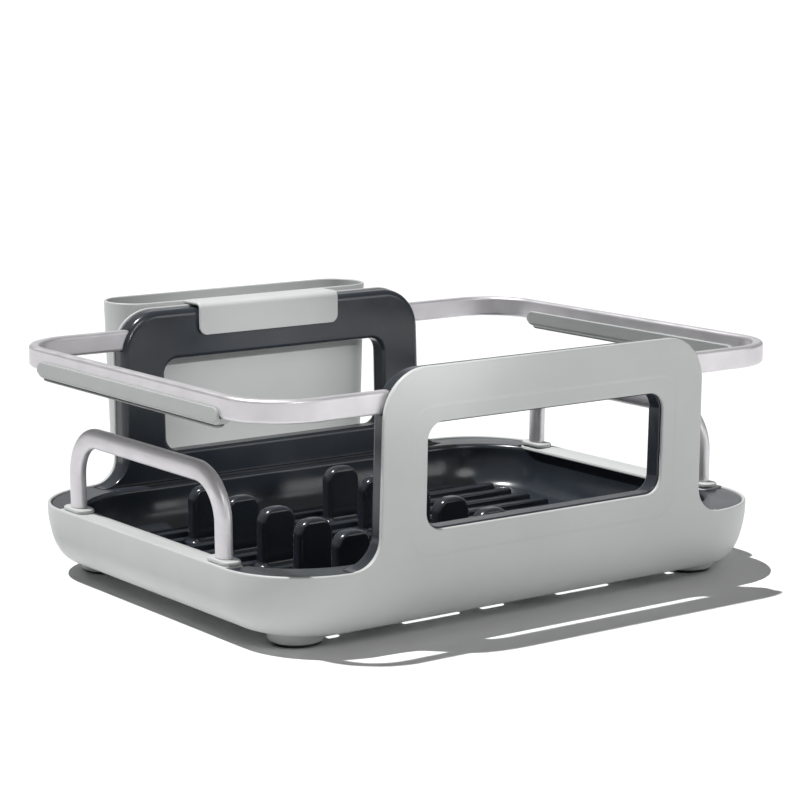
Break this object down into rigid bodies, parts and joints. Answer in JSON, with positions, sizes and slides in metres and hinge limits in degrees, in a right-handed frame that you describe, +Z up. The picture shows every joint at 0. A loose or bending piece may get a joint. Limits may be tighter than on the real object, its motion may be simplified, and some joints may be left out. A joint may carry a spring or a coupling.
{
  "type": "dish drying rack",
  "caption": "Dish drying rack: light bowl-shaped shell with windowed front and back uprights, dark tined tray, side handles, pull-out sink arms and a hang-on utensil cup.",
  "frame": {"origin": "on the ground, at the middle of the footprint of the rack with its cup hung on", "axes": "+X right along the long side, +Y from the front window to the cup, +Z up"},
  "size_m": [0.4476, 0.3926, 0.1808],
  "materials": {
    "light_shell_plastic": "fine satin moulded light grey",
    "dark_tray_plastic": "glossy moulded blue-charcoal",
    "satin_aluminium": "bead-blasted satin anodised",
    "soft_grip": "soft-touch light grey",
    "non_slip_rubber": "matte dark non-slip",
    "glide_plastic": "plain dark nylon",
    "screw_steel": "zinc-plated steel"
  },
  "bodies": {
    "rack": {"outer_shell": "light_shell_plastic", "inner_tray": "dark_tray_plastic", "front_inner_frame": "dark_tray_plastic", "back_inner_frame": "dark_tray_plastic", "left_tine_1": "dark_tray_plastic", "left_tine_2": "dark_tray_plastic", "left_tine_3": "dark_tray_plastic", "left_tine_4": "dark_tray_plastic", "left_tine_5": "dark_tray_plastic", "right_tine_1": "dark_tray_plastic", "right_tine_2": "dark_tray_plastic", "right_tine_3": "dark_tray_plastic", "right_tine_4": "dark_tray_plastic", "right_tine_5": "dark_tray_plastic", "left_handle": "satin_aluminium", "right_handle": "satin_aluminium", "left_handle_front_base": "light_shell_plastic", "left_handle_back_base": "light_shell_plastic", "right_handle_front_base": "light_shell_plastic", "right_handle_back_base": "light_shell_plastic", "left_handle_front_screw": "screw_steel", "left_handle_back_screw": "screw_steel", "right_handle_front_screw": "screw_steel", "right_handle_back_screw": "screw_steel", "tray_screw_left_front": "screw_steel", "tray_screw_left_back": "screw_steel", "tray_screw_right_front": "screw_steel", "tray_screw_right_back": "screw_steel", "foot_front_left": "light_shell_plastic", "foot_front_right": "light_shell_plastic", "foot_back_left": "light_shell_plastic", "foot_back_right": "light_shell_plastic", "foot_pad_front_left": "non_slip_rubber", "foot_pad_front_right": "non_slip_rubber", "foot_pad_back_left": "non_slip_rubber", "foot_pad_back_right": "non_slip_rubber"},
    "left_arm_assembly": {"left_arm": "satin_aluminium", "left_arm_grip": "soft_grip", "left_arm_grip_pad": "non_slip_rubber", "left_arm_front_glide": "glide_plastic", "left_arm_back_glide": "glide_plastic"},
    "right_arm_assembly": {"right_arm": "satin_aluminium", "right_arm_grip": "soft_grip", "right_arm_grip_pad": "non_slip_rubber", "right_arm_front_glide": "glide_plastic", "right_arm_back_glide": "glide_plastic"},
    "cup": {"utensil_cup": "light_shell_plastic"}
  },
  "joints": [
    {"name": "left_arm_slide", "type": "slide", "parent": "rack", "child": "left_arm_assembly", "axis": [-1, 0, 0], "range_m": [0, 0.08]},
    {"name": "right_arm_slide", "type": "slide", "parent": "rack", "child": "right_arm_assembly", "axis": [1, 0, 0], "range_m": [0, 0.08]},
    {"name": "utensil_cup_lift", "type": "slide", "parent": "rack", "child": "cup", "axis": [0, 0, 1], "range_m": [0, 0.06]}
  ]
}
